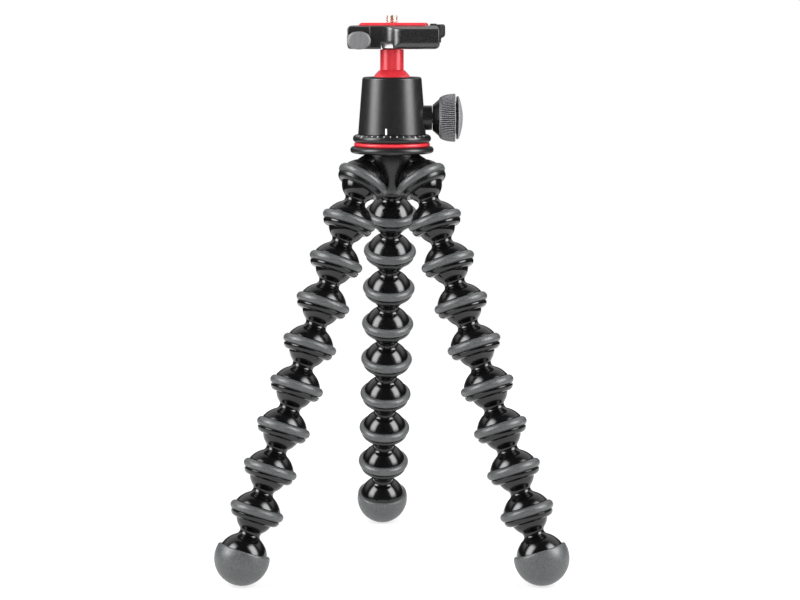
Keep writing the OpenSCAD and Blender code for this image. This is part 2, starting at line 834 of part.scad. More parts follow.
module clamp_body() {
  boss_right = pocket_right - clamp_corner_r;
  color(black) at_clamp() difference() {
    union() {
      difference() {
        linear_extrude(clamp_h)
          rounded_rect(clamp_left, clamp_right, -slab_front, clamp_back, clamp_corner_r / 2);
        dovetail_channel();
      }
      translate([0, -slab_front, 0]) along_y() linear_extrude(slab_front + clamp_screw_back)
        rounded_rect(clamp_left, boss_right, -skirt_drop, clamp_floor, clamp_corner_r / 2);
      translate([level_x, level_y, level_top_z - level_boss_h])
        cylinder(h = level_boss_h, d = level_boss_d);
    }
    translate([level_x, level_y, level_top_z - level_boss_h + level_floor])
      cylinder(h = level_boss_h, r = level_boss_d / 2 - level_wall);
    translate([0, 0, -over]) cylinder(h = clamp_floor + over, r = clamp_bolt_d / 2 + hole_gap);
    translate([0, 0, clamp_floor - clamp_bolt_head_h - hole_gap])
      cylinder(h = clamp_h, r = clamp_bolt_head_d / 2 + hole_gap);
    guide_pin_holes(turn_gap);
    translate([screw_x, -slab_front - over, screw_z]) along_y()
      cylinder(h = slab_front + clamp_screw_back + 2 * over, r = clamp_screw_d / 2 + turn_gap);
  }
}

module clamp_bolt() {
  head_z = clamp_floor - clamp_bolt_head_h - hole_gap;
  color(steel) at_clamp() {
    translate([0, 0, head_z]) cylinder(h = clamp_bolt_head_h, d = clamp_bolt_head_d);
    translate([0, 0, -collar_h - clamp_bolt_in])
      cylinder(h = head_z + collar_h + clamp_bolt_in + over, d = clamp_bolt_d);
  }
}

module level_vial() {
  vial_r = level_boss_d / 2 - level_wall - fit_gap;
  color(fluid) at_clamp() translate([level_x, level_y, level_top_z - level_boss_h + level_floor])
    cylinder(h = level_boss_h - level_floor, r = vial_r);
}

// Front jaw: a thick block at the right, a finger hollow, and a thin wall behind the thumb knob
module clamp_jaw() {
  cut_h = clamp_h + skirt_drop + 2 * over;
  color(black) at_clamp() difference() {
    translate([0, -clamp_front, 0]) along_y() linear_extrude(clamp_front - jaw_back)
      rounded_rect(clamp_left, clamp_right, -skirt_drop, clamp_h, clamp_corner_r);
    dovetail_channel();
    translate([clamp_left - over, -clamp_front - over, -skirt_drop - over])
      cube([pocket_right - clamp_left + over, clamp_front - wall_front + over, cut_h]);
    translate([arch_left, -clamp_front - over, -skirt_drop - over])
      cube([arch_right - arch_left, clamp_front, skirt_drop + over]);
    translate([hollow_x, -clamp_front - hollow_out, -skirt_drop - over])
      cylinder(h = cut_h, r = hollow_r);
    guide_pin_holes(fit_gap);
    translate([screw_x, -clamp_front, screw_z]) along_y()
      cylinder(h = clamp_front, r = clamp_screw_d / 2 + turn_gap);
  }
}

module jaw_guide_pins() {
  color(steel) at_clamp() guide_pin_holes(0);
}

// Oval between two flat arcs, with short straight ends
module thumb_outline() {
  bow = (thumb_h - thumb_end_h) / 2;
  arc_r = (thumb_w * thumb_w / 4 + bow * bow) / (2 * bow);
  intersection() {
    translate([0, thumb_h / 2 - arc_r]) circle(arc_r);
    translate([0, arc_r - thumb_h / 2]) circle(arc_r);
    translate([-thumb_w / 2, -thumb_h / 2]) square([thumb_w, thumb_h]);
  }
}

// Oval thumb knob with a face crowned about an upright axis
module clamp_thumb_knob() {
  back_y = -wall_front - thumb_gap;
  color(knob_grey) at_clamp() translate([screw_x, back_y, screw_z]) difference() {
    intersection() {
      translate([0, -thumb_l, 0]) along_y() linear_extrude(thumb_l) thumb_outline();
      translate([0, thumb_crown_r - thumb_l, -thumb_h])
        cylinder(h = 2 * thumb_h, r = thumb_crown_r, $fn = crown_fn);
    }
    translate([0, -thumb_l / 2 - fit_gap, 0]) along_y()
      cylinder(h = thumb_l, r = clamp_screw_d / 2 + fit_gap);
  }
}

module clamp_screw() {
  front_y = -wall_front - thumb_gap - thumb_l / 2;
  color(steel) at_clamp() translate([screw_x, front_y, screw_z]) along_y()
    cylinder(h = clamp_screw_back - front_y, d = clamp_screw_d);
}

// Camera plate

module at_pads() {
  for (y = [-pad_y, pad_y])
    translate([plate_shift - plate_l / 2 + pad_margin, y - pad_w / 2, plate_top_z - pad_t]) children();
}

module camera_plate() {
  color(red) at_clamp() difference() {
    translate([0, 0, plate_z])
      sweep_x(plate_shift - plate_l / 2, plate_shift + plate_l / 2) dovetail_outline(0, plate_t);
    translate([0, 0, plate_z - over]) cylinder(h = plate_t + 2 * over, r = camera_neck_d / 2 + turn_gap);
    translate([0, 0, plate_z - over])
      cylinder(h = camera_head_h + hole_gap + over, r = camera_head_d / 2 + hole_gap);
    at_pads() translate([-fit_gap, -fit_gap, -fit_gap])
      cube([plate_l - 2 * pad_margin + 2 * fit_gap, pad_w + 2 * fit_gap, pad_t + over]);
  }
}

module plate_pads() {
  color(rubber_grey) at_clamp() at_pads() cube([plate_l - 2 * pad_margin, pad_w, pad_t]);
}

// Captive screw: the thread above the plate is wider than the neck's hole
module camera_screw() {
  head_z = plate_z + hole_gap / 2;
  thread_z = plate_top_z + fit_gap;
  color(brass) at_clamp() difference() {
    union() {
      translate([0, 0, head_z]) cylinder(h = camera_head_h, d = camera_head_d);
      translate([0, 0, head_z + over])
        cylinder(h = thread_z - head_z, d = camera_neck_d);
      translate([0, 0, thread_z])
        cylinder(h = camera_screw_rise - fit_gap, d = camera_screw_d);
    }
    translate([-camera_head_d, -camera_slot_w / 2, plate_z - over])
      cube([2 * camera_head_d, camera_slot_w, camera_slot_depth + over]);
  }
}

hub_body();
hub_grip_rings();
hub_disc();
disc_screws();
hub_stud();
trim_ring();
pan_base();
pan_retaining_ring();
pan_washer();
ball_housing();
housing_floor_ring();
ball_seat();
lock_wedge();
lock_spindle();
lock_knob();
lock_knob_grip();
lock_knob_cap();
ball_stem();
stem_collar();
clamp_body();
clamp_bolt();
level_vial();
clamp_jaw();
jaw_guide_pins();
clamp_screw();
clamp_thumb_knob();
camera_plate();
plate_pads();
camera_screw();
for (i = [0:2]) {
  for (k = [1:link_count])
    link(i, k);
  foot(i);
  boot(i);
}
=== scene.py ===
"""Looks of the flexible leg tripod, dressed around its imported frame."""

import json
from math import acos, asin, atan2, cos, degrees, hypot, pi, radians, sin, sqrt, tan

import bmesh
import bpy
from mathutils import Matrix, Vector


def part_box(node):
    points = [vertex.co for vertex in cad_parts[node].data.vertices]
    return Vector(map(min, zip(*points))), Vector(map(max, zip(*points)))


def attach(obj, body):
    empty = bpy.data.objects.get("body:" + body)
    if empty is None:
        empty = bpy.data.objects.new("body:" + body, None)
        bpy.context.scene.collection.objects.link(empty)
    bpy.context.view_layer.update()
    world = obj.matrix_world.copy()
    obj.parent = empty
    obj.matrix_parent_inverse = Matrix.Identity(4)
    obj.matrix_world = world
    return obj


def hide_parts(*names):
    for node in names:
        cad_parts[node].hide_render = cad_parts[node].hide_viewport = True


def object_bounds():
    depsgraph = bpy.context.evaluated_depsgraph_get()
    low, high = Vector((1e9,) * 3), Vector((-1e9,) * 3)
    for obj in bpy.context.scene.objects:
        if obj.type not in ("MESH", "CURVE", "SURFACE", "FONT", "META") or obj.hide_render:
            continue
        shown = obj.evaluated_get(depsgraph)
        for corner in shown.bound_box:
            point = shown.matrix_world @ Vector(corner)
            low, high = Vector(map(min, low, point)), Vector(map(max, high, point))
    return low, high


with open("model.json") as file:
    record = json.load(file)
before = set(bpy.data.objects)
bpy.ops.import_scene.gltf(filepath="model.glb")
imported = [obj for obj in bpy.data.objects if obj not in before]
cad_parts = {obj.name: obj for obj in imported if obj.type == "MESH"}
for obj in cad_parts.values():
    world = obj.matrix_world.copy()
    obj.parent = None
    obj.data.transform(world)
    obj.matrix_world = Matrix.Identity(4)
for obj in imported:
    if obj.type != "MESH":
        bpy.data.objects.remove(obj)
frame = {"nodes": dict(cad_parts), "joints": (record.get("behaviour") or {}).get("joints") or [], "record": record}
cad_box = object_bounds()

# Shared values: sizes are millimetres, and the frame is metres
MM = 0.001
LEGS = ("left", "right", "rear")
LINK_COUNT = 8
JOINTS = {joint["name"]: joint for joint in frame["joints"]}
COLUMN = Vector(JOINTS["pan"]["pos_m"])
UP = Vector((0, 0, 1))
FIT_GAP = 0.05
LATHE_STEPS = 96
NOISE_LOW = 0.3
NOISE_HIGH = 0.7

# Leg chain; the angles in degrees keep a profile's rows clear of the tip or the rim beside them
LEG_BALL_R = 10
SOCKET_R = 10.15
DOME_R = 13.3
WAIST_FILLET = 2.4
RIM_DROP = 3
RIM_ROUND = 3
RIM_LIP = 0.25
GROOVE_R = 11.9
GROOVE_EDGE = 0.3
RING_R = 14.5
RING_H = 4.9
RING_RISE = 2.7
FOOT_R = 14.65
BOOT_RIM_RISE = 4.2
BOOT_EDGE = 0.4
HUB_SOCKET_TILT = radians(35)
TIP_ANGLE = 86
BOOT_TIP_ANGLE = 87
MOUTH_ANGLE = 2
BOOT_RIM_ANGLE = 2
BOOT_INNER_ANGLE = 1

# Smooth middle of the hub, measured from the ball sockets' height
WEB_TOP_R = 13.9
WEB_TOP = 14.6
WEB_TAPER = 0.07
WEB_DROP = 22
WEB_TIP_R = 4
WEB_WALL_R = 12
WEB_ROWS = 40
WEB_STEPS = 180

# Marks of the pan scale, with angles in degrees: ticks run over the rim's round, from its inner side out
PAN_RIM_R = 18.8
PAN_RIM_ROUND = 2.1
MARK_THICK = 0.03
TICK_STEP = 10
TICK_START = -52
TICK_HALF = 0.6
TICK_INNER = 88
TICK_SHORT = 46
TICK_LONG = 22
TICKS_PER_LONG = 9
HOUSING_FOOT_R = 18.1
HOUSING_TOP_R = 15.85
HOUSING_H = 28.9
INDEX_AZIMUTH = -9.7
INDEX_HALF = 1.5
INDEX_FOOT = 0.4
INDEX_TOP = 3.6

# Lock knob: the X values lie along its axis from the column, lengths run outward from the inner end
KNOB_GRIP_X = 25.1
KNOB_CORE_R = 8.55
KNOB_MID_R = 9.8
KNOB_BIG_R = 12.8
KNOB_GRIP_L = 8.7
KNOB_RIM_L = 0.45
KNOB_EDGE = 0.2
RIB_COUNT = 72
RIB_STEPS = 8
RIB_DEPTH = 1.1
RIB_START = 0.4
RIB_FULL = 2.5
RIB_END = 0.1
RIB_POINTED = 1.5
GRIP_ROWS = 16
CAP_X = 34.4
CAP_R = 11.5
CAP_EDGE_L = 1.1
CAP_L = 3.4
# Length of the band at the cap's edge that is painted dark as shade
CAP_SHADE_L = 0.9
CAP_ROUND = 0.3
CAP_EDGE_ANGLE = 0.7

# Soft copies: size of their even faces, and how often they are smoothed
VOXEL = 0.25
CLAMP_ROUNDS = 6
JAW_FRONT_ROUNDS = 24
BODY_BACK_ROUNDS = 20
PLATE_ROUNDS = 4
SOFT_SHARP = 70

# Jaws, in the clamp's frame: x along the dovetail, y to the back, z up from the collar's top
JAW_FRONT = -24.5
JAW_FRONT_END = -18
JAW_FOOT = -3.2
JAW_FOOT_R = 4
JAW_TOP = 9.1
JAW_SLOPE = radians(15)
JAW_SLOPE_Y = -17.3
HOLLOW_LEFT = -10.5
HOLLOW_MIDDLE = -3.5
HOLLOW_RIGHT = 7
HOLLOW_FLOOR = -19.4
HOLLOW_EDGE_R = 6.5
BODY_RIGHT = 25.4
BODY_BACK_START = 20.5

# Bright collar under the clamp
COLLAR_BORE_R = 2.55
COLLAR_FLARE = 1.2
COLLAR_LIP = 0.4

# Thumb knob: its bevel's rows are insets with depths below the crowned face
THUMB_AT = (-16, -20.2, 1.3)
THUMB_HALF_W = 6.2
THUMB_HALF_H = 4.65
THUMB_FULLNESS = 2.2
THUMB_L = 4.4
THUMB_CROWN_R = 16
THUMB_STEPS = 72
THUMB_BACK_INSET = 0.5
THUMB_BACK_EDGE = 0.4
THUMB_BEVEL = ((0, 0.6), (0.22, 0.2), (0.65, 0))
THUMB_FACE_ROWS = (0.7, 0.45, 0.2)
THUMB_SHARP = 25

# Bubble level in the clamp's frame
LEVEL_AT = (24.1, 4, 4.1)
LEVEL_R = 3.05
LEVEL_H = 6
LEVEL_CUP_R = 4.1
LEVEL_CUP_TOP = 10.1
LEVEL_CUP_H = 7.6
LEVEL_RIM = 2
LEVEL_SINK = 0.5
LEVEL_WINDOW_R = 12
LEVEL_CIRCLE_R = 1.5
LEVEL_CIRCLE_WIRE_R = 0.12
BUBBLE_R = 1.05
BUBBLE_H = 0.3
BUBBLE_RISE = 0.02
BUBBLE_SHIFT = (0.25, 0.15, -0.01)

# Camera plate and its rubber strips in the clamp's frame
PLATE_Z = 4.35
PLATE_TOP = 10.5
PLATE_LEFT = -16.9
PLATE_RIGHT = 18.7
PLATE_CHAMFER = 1.5
PAD_LEFT = -13.9
PAD_RIGHT = 15.7
PAD_Y = 10.5
PAD_HALF_W = 3
PAD_T = 0.8
PAD_RIBS = 7
PAD_RIB_STEPS = 8
PAD_GROOVE = 0.25

# Camera screw, with a 1/4 inch thread of 20 turns to the inch
THREAD_R = 3.175
THREAD_PITCH = 1.27
THREAD_DEPTH = 0.62
THREAD_RISE = 3.9
THREAD_CHAMFER = 0.5
THREAD_FLAT = 0.1
THREAD_ROWS = 14
SCREW_NECK_R = 2.4
SCREW_HEAD_R = 5.5
SCREW_HEAD_H = 2.2
SCREW_HEAD_GAP = 0.1
SCREW_HEAD_EDGE = 0.2
SCREW_SLOT_W = 1.6
SCREW_SLOT_DEPTH = 1.1

# Photograph's camera
CAMERA_PLACE = (0.00429, -1.12426, 0.29237)
CAMERA_PITCH_DOWN = radians(7.617)
CAMERA_LENS = 92.64
CAMERA_SENSOR = 36

# Stage in metres, with brightness where 1 is the picture's white
FLOOR_R = 0.62
FLOOR_STEPS = 128
FLOOR_GREY = 0.30
FLOOR_GREY_HIGH = 0.32
FLOOR_GLOW_START = 0.2
FLOOR_GLOW_NEAR = 0.68
FLOOR_GLOW_FAR = 0.95
ROOM_DARK = 0.05
ROOM_BRIGHT = 0.9
BACKDROP = (("Y", 0, 0.4), ("Z", 0.2, 0.5))
SOFTBOX_AZIMUTH = 66
SOFTBOX_ELEVATION = 29
SOFTBOX_DISTANCE = 0.85
SOFTBOX_SIZE = (0.7, 1.15)
SOFTBOX_RADIANCE = 11.5
SOFTBOX_FADE_START = 0.15
SOFTBOX_FADE_END = 0.5
FILL_ELEVATION = 4
FILL_DISTANCE = 1.5
FILL_SIZE = (1.2, 1.2)
FILL_RADIANCE = 6


# Materials

def srgb(red, green, blue):
    """Linear colour of an 8-bit screen colour."""
    def channel(value):
        share = value / 255
        if share <= 0.04045:
            return share / 12.92
        return ((share + 0.055) / 1.055) ** 2.4
    return (channel(red), channel(green), channel(blue), 1)


class Finish:
    """A principled material whose colour, roughness and relief come from noise at real scales."""

    def __init__(self, name):
        self.material = bpy.data.materials.new(name)
        self.material.use_nodes = True
        self.nodes = self.material.node_tree.nodes
        self.links = self.material.node_tree.links
        self.shader = self.nodes["Principled BSDF"]
        self.place = self.nodes.new("ShaderNodeTexCoord").outputs["Object"]

    def set(self, socket, value):
        """One number or colour for the whole material."""
        self.shader.inputs[socket].default_value = value
        return self

    def noise(self, size_mm, detail=4, stretch=(1, 1, 1)):
        """Noise whose features are about size_mm across."""
        mapping = self.nodes.new("ShaderNodeMapping")
        mapping.inputs["Scale"].default_value = stretch
        texture = self.nodes.new("ShaderNodeTexNoise")
        texture.inputs["Scale"].default_value = 1 / (size_mm * MM)
        texture.inputs["Detail"].default_value = detail
        self.links.new(self.place, mapping.inputs["Vector"])
        self.links.new(mapping.outputs["Vector"], texture.inputs["Vector"])
        return texture.outputs["Fac"]

    def spread(self, source, low, high):
        """Maps the middle of a noise to the range low to high."""
        node = self.nodes.new("ShaderNodeMapRange")
        node.inputs["From Min"].default_value = NOISE_LOW
        node.inputs["From Max"].default_value = NOISE_HIGH
        node.inputs["To Min"].default_value = low
        node.inputs["To Max"].default_value = high
        self.links.new(source, node.inputs["Value"])
        return node.outputs["Result"]

    def colour(self, source, first, second):
        """Base colour that wanders between two colours with a noise."""
        ramp = self.nodes.new("ShaderNodeValToRGB")
        ramp.color_ramp.elements[0].position = NOISE_LOW
        ramp.color_ramp.elements[1].position = NOISE_HIGH
        ramp.color_ramp.elements[0].color = first
        ramp.color_ramp.elements[1].color = second
        self.links.new(source, ramp.inputs["Fac"])
        self.links.new(ramp.outputs["Color"], self.shader.inputs["Base Color"])
        return self

    def roughness(self, source, low, high):
        self.links.new(self.spread(source, low, high), self.shader.inputs["Roughness"])
        return self

    def relief(self, source, depth_mm, edge_mm=0):
        """Bumps the surface by a noise, and rounds sharp edges over a width."""
        bump = self.nodes.new("ShaderNodeBump")
        bump.inputs["Distance"].default_value = depth_mm * MM
        self.links.new(source, bump.inputs["Height"])
        self.links.new(bump.outputs["Normal"], self.shader.inputs["Normal"])
        if edge_mm:
            edge = self.nodes.new("ShaderNodeBevel")
            edge.samples = 6
            edge.inputs["Radius"].default_value = edge_mm * MM
            self.links.new(edge.outputs["Normal"], bump.inputs["Normal"])
        return self


def gloss_black_plastic():
    finish = Finish("gloss_black_plastic")
    finish.colour(finish.noise(6), srgb(5, 5, 6), srgb(9, 9, 10))
    finish.roughness(finish.noise(2.5), 0.09, 0.15)
    finish.relief(finish.noise(0.5), 0.004, 0.3)
    return finish.material


def grey_rubber():
    finish = Finish("grey_rubber")
    finish.colour(finish.noise(0.9, 5), srgb(50, 52, 53), srgb(74, 76, 77))
    finish.roughness(finish.noise(3), 0.36, 0.46)
    finish.relief(finish.noise(0.25, 6), 0.03)
    return finish.set("Specular IOR Level", 0.7).material


def dark_satin_metal():
    finish = Finish("dark_satin_metal")
    finish.colour(finish.noise(2), srgb(17, 17, 18), srgb(24, 24, 25))
    finish.roughness(finish.noise(1.5), 0.28, 0.36)
    finish.relief(finish.noise(0.18, 3), 0.012, 0.2)
    return finish.material


def red_anodised():
    finish = Finish("red_anodised")
    finish.colour(finish.noise(4), srgb(198, 42, 52), srgb(210, 50, 60))
    finish.roughness(finish.noise(1.5, stretch=(1, 1, 6)), 0.26, 0.36)
    finish.relief(finish.noise(0.2, 2, stretch=(0.1, 0.1, 4)), 0.006, 0.2)
    return finish.set("Metallic", 0.1).material


def satin_black(name, low, high, rough, shine):
    """Dark satin plastic or paint between two screen greys."""
    finish = Finish(name)
    finish.colour(finish.noise(2), srgb(low, low, low + 1), srgb(high, high, high + 1))
    finish.roughness(finish.noise(1.5), rough - 0.04, rough + 0.05)
    finish.relief(finish.noise(0.3, 3), 0.01, 0.2)
    return finish.set("Specular IOR Level", shine).material


def grey_grip(name, low, high, rough, stretch=(1, 1, 1)):
    """Grey moulding between two screen greys, with a grain that can be stretched."""
    finish = Finish(name)
    finish.colour(finish.noise(1.5, 4, stretch), srgb(low, low, low + 2), srgb(high, high, high + 2))
    finish.roughness(finish.noise(2, 4, stretch), rough - 0.05, rough + 0.06)
    finish.relief(finish.noise(0.3, 4, stretch), 0.012)
    return finish.material


def bare_metal(name, first, second, rough, stretch=(1, 1, 5)):
    """Metal with fine tool marks along one axis."""
    finish = Finish(name)
    finish.colour(finish.noise(1.5, 4, stretch), first, second)
    finish.roughness(finish.noise(1, 4, stretch), rough - 0.05, rough + 0.07)
    finish.relief(finish.noise(0.2, 2, stretch), 0.004)
    return finish.set("Metallic", 1.0).material


def nylon_white():
    finish = Finish("nylon_white")
    finish.colour(finish.noise(3), srgb(208, 202, 186), srgb(222, 216, 202))
    finish.roughness(finish.noise(2), 0.45, 0.6)
    return finish.material


def white_print():
    finish = Finish("white_print")
    finish.colour(finish.noise(0.6), srgb(205, 205, 205), srgb(225, 225, 225))
    finish.roughness(finish.noise(0.5), 0.45, 0.6)
    return finish.material


def level_fluid(name, first, second):
    finish = Finish(name)
    finish.colour(finish.noise(4), first, second)
    finish.roughness(finish.noise(3), 0.05, 0.1)
    return finish.set("Coat Weight", 1.0).material


MATERIALS = {
    "gloss_black": gloss_black_plastic(),
    "grip_rubber": grey_rubber(),
    "dark_metal": dark_satin_metal(),
    "red_metal": red_anodised(),
    "clamp_black": satin_black("clamp_black", 18, 25, rough=0.3, shine=0.9),
    "thumb_grey": grey_grip("thumb_grey", 87, 101, rough=0.36, stretch=(5, 1, 0.2)),
    "knob_black": satin_black("knob_black", 9, 14, rough=0.3, shine=0.5),
    "knob_grey": grey_grip("knob_grey", 108, 124, rough=0.44),
    # Darker copy of the knob's grey, painted into the grip's grooves as shade
    "painted_groove_shade": grey_grip("painted_groove_shade", 24, 32, rough=0.6),
    "cap_grey": grey_grip("cap_grey", 116, 130, rough=0.36),
    "bright_steel": bare_metal(
        "bright_steel", srgb(226, 226, 228), srgb(250, 250, 250), 0.2, (2, 2, 0.4)),
    "steel": bare_metal("steel", srgb(150, 151, 154), srgb(172, 173, 176), 0.34),
    "screw_metal": bare_metal("screw_metal", srgb(222, 204, 190), srgb(244, 232, 222), 0.36),
    "bronze": bare_metal("bronze", srgb(164, 124, 72), srgb(184, 144, 90), 0.4),
    "nylon": nylon_white(),
    "level_fluid": level_fluid("level_fluid", srgb(120, 150, 30), srgb(140, 168, 44)),
    "level_bubble": level_fluid("level_bubble", srgb(190, 206, 120), srgb(204, 218, 140)),
    "white_print": white_print(),
    "cup_black": satin_black("cup_black", 12, 18, rough=0.6, shine=0.3),
    "hub_satin": satin_black("hub_satin", 7, 11, rough=0.27, shine=0.5),
}
NODE_FINISHES = {"hub_body": "hub_satin"}
for row in frame["record"]["subparts"]:
    node = frame["nodes"][row["node"]]
    node.data.materials.clear()
    node.data.materials.append(MATERIALS[NODE_FINISHES.get(row["node"], row["material_slot"])])


# Mesh helpers: meshes are made in millimetres in a local frame and then placed

def frame_along(origin, axis):
    """Frame at a point in metres whose +Z runs along an axis, for a mesh in millimetres."""
    turn = Vector(axis).to_track_quat("Z", "Y").to_matrix().to_4x4()
    return Matrix.Translation(origin) @ turn @ Matrix.Scale(MM, 4)


def arc(centre_r, centre_z, radius, start, end, steps):
    """Points of an arc in (radius, height), between two angles in degrees."""
    angles = [radians(start + (end - start) * i / steps) for i in range(steps + 1)]
    return [(centre_r + radius * cos(a), centre_z + radius * sin(a)) for a in angles]


def smooth_step(value, low, high):
    """0 up to low, 1 from high on, and an S-curve between."""
    share = min(1, max(0, (value - low) / (high - low)))
    return share * share * (3 - 2 * share)


def join_rows(mesh, rows, closed):
    """Faces between rows of points that go round; a row of one point is a tip."""
    pairs = list(zip(rows, rows[1:]))
    if closed:
        pairs.append((rows[-1], rows[0]))
    for lower, upper in pairs:
        steps = max(len(lower), len(upper))
        for i in range(steps):
            j = (i + 1) % steps
            corners = [lower[i % len(lower)], lower[j % len(lower)]]
            corners += [upper[j % len(upper)], upper[i % len(upper)]]
            mesh.faces.new(list(dict.fromkeys(corners)))


def lathe(profile, steps=LATHE_STEPS, closed=False, shape=None):
    """Revolves a profile about Z. An open one starts and ends on the axis; a closed one is a ring.

    shape(radius, height, turn) changes the radius round the axis.
    """
    mesh = bmesh.new()
    rows = []
    for radius, height in profile:
        row = []
        count = steps if radius > FIT_GAP / 100 else 1
        for i in range(count):
            turn = 2 * pi * i / count
            reach = shape(radius, height, turn) if shape else radius
            row.append(mesh.verts.new((reach * cos(turn), reach * sin(turn), height)))
        rows.append(row)
    join_rows(mesh, rows, closed)
    return mesh


def add_sector(mesh, outline, middle, half, steps=3):
    """Revolves a closed outline in (radius, height) over a few degrees; 0 is the front."""
    rows = []
    for i in range(steps + 1):
        turn = radians(middle - half + 2 * half * i / steps)
        rows.append([mesh.verts.new((r * sin(turn), -r * cos(turn), z)) for r, z in outline])
    for near, far in zip(rows, rows[1:]):
        for i in range(len(outline)):
            j = (i + 1) % len(outline)
            mesh.faces.new((near[i], near[j], far[j], far[i]))
    mesh.faces.new(rows[0])
    mesh.faces.new(rows[-1][::-1])


def add_prism(mesh, outline, low, high, place):
    """Straight prism on an outline; place(u, v, depth) gives a point."""
    ends = [[mesh.verts.new(place(u, v, depth)) for u, v in outline] for depth in (low, high)]
    join_rows(mesh, ends, closed=False)
    mesh.faces.new(ends[0][::-1])
    mesh.faces.new(ends[1])


def piece(name, mesh, place, slot, body, nodes=(), sharp=40):
    """Places a mesh as a named piece that rides on a body and stands for CAD nodes."""
    mesh.transform(place)
    bmesh.ops.recalc_face_normals(mesh, faces=mesh.faces)
    data = bpy.data.meshes.new(name)
    mesh.to_mesh(data)
    mesh.free()
    data.shade_smooth()
    data.set_sharp_from_angle(angle=radians(sharp))
    data.materials.append(MATERIALS[slot])
    made = bpy.data.objects.new(name, data)
    bpy.context.scene.collection.objects.link(made)
    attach(made, body)
    if nodes:
        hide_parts(*nodes)
    return made


def paint(made, slot, place, test):
    """Gives a second finish to the faces whose middle, in a local frame, passes a test."""
    made.data.materials.append(MATERIALS[slot])
    to_local = place.inverted()
    for face in made.data.polygons:
        if test(to_local @ face.center):
            face.material_index = 1


def soft_copy(node, place, shape, rounds):
    """Copy of a CAD node's mesh in a local frame, with even faces and rounded edges.

    shape moves each point. rounds lists how often to smooth, with a test for the points that take part.
    """
    mesh = bmesh.new()
    mesh.from_mesh(frame["nodes"][node].data)
    mesh.transform(place.inverted())
    data = bpy.data.meshes.new("copy")
    mesh.to_mesh(data)
    mesh.free()
    holder = bpy.data.objects.new("copy", data)
    bpy.context.scene.collection.objects.link(holder)
    even = holder.modifiers.new("even", "REMESH")
    even.mode = "VOXEL"
    even.voxel_size = VOXEL
    soft = bmesh.new()
    soft.from_object(holder, bpy.context.evaluated_depsgraph_get())
    for point in soft.verts:
        shape(point.co)
    soft.to_mesh(data)
    soft.clear()
    soft.from_object(holder, bpy.context.evaluated_depsgraph_get())
    bpy.data.objects.remove(holder)
    bpy.data.meshes.remove(data)
    for count, test in rounds:
        chosen = [point for point in soft.verts if test(point.co)]
        for _ in range(count):
            bmesh.ops.smooth_vert(
                soft, verts=chosen, factor=0.5, use_axis_x=True, use_axis_y=True, use_axis_z=True)
    return soft


def everywhere(point):
    """Test that lets each point of a soft copy take part."""
    return True


# Leg chain

def leg_joint(leg, k):
    """Centre of the ball on top of link k, where the foot follows the last link."""
    name = f"{leg}_bend_{k}" if k <= LINK_COUNT else f"{leg}_foot_bend"
    return Vector(JOINTS[name]["pos_m"])


def leg_up(leg):
    """Direction of a straight leg, from its foot to the hub."""
    return (leg_joint(leg, 1) - leg_joint(leg, LINK_COUNT + 1)).normalized()


PITCH = (leg_joint("left", 1) - leg_joint("left", 2)).length / MM
WAIST_Z = -(PITCH**2 + (LEG_BALL_R - DOME_R) * (LEG_BALL_R + DOME_R + 2 * WAIST_FILLET)) / (2 * PITCH)
WAIST_R = sqrt((LEG_BALL_R + WAIST_FILLET) ** 2 - WAIST_Z**2)
WAIST_TOP = degrees(acos(WAIST_R / hypot(WAIST_R, WAIST_Z)))
WAIST_FOOT = degrees(acos(WAIST_R / hypot(WAIST_R, PITCH + WAIST_Z)))


def ball_and_waist():
    """From the top of a ball down to where the waist's fillet meets the dome."""
    points = [(0, LEG_BALL_R)] + arc(0, 0, LEG_BALL_R, TIP_ANGLE, -WAIST_TOP, steps=28)
    points += arc(WAIST_R, WAIST_Z, WAIST_FILLET, 180 - WAIST_TOP, 180 + WAIST_FOOT, steps=12)[1:]
    return points


def socket_dome():
    """From the waist down over the ring's groove and the round rim, and up inside the socket."""
    groove_top = RING_RISE + RING_H / 2 + FIT_GAP
    groove_foot = RING_RISE - RING_H / 2 - FIT_GAP
    top_angle = degrees(acos(sqrt(DOME_R**2 - (groove_top + GROOVE_EDGE) ** 2) / DOME_R))
    mouth_r = sqrt(SOCKET_R**2 - RIM_DROP**2)
    mouth_angle = degrees(acos(mouth_r / SOCKET_R))
    rim_r = DOME_R - RIM_ROUND
    points = arc(0, 0, DOME_R, WAIST_FOOT, top_angle, steps=14)[1:]
    points += [(points[-1][0] - GROOVE_EDGE / 2, groove_top), (GROOVE_R, groove_top)]
    points += [(GROOVE_R, groove_foot), (DOME_R - GROOVE_EDGE, groove_foot)]
    points += arc(rim_r, 0, RIM_ROUND, 0, -90, steps=12)
    points += [(mouth_r + RIM_LIP, -RIM_DROP), (mouth_r, -RIM_DROP + RIM_LIP)]
    points += arc(0, 0, SOCKET_R, -mouth_angle + MOUTH_ANGLE, 90, steps=24)[:-1] + [(0, SOCKET_R)]
    return [(r, z - PITCH) for r, z in points]


def grip_ring():
    """Bead that sits in a dome's groove: round outside, straight inside."""
    crown_r = RING_R - RING_H / 2
    points = [(GROOVE_R + FIT_GAP, RING_RISE - RING_H / 2)]
    points += arc(crown_r, RING_RISE, RING_H / 2, -90, 90, steps=24)
    points += [(GROOVE_R + FIT_GAP, RING_RISE + RING_H / 2)]
    return points


def foot_dome():
    """From the waist down over the foot's ball, which the boot wraps."""
    points = arc(0, 0, DOME_R, WAIST_FOOT, -TIP_ANGLE, steps=40)[1:] + [(0, -DOME_R)]
    return [(r, z - PITCH) for r, z in points]


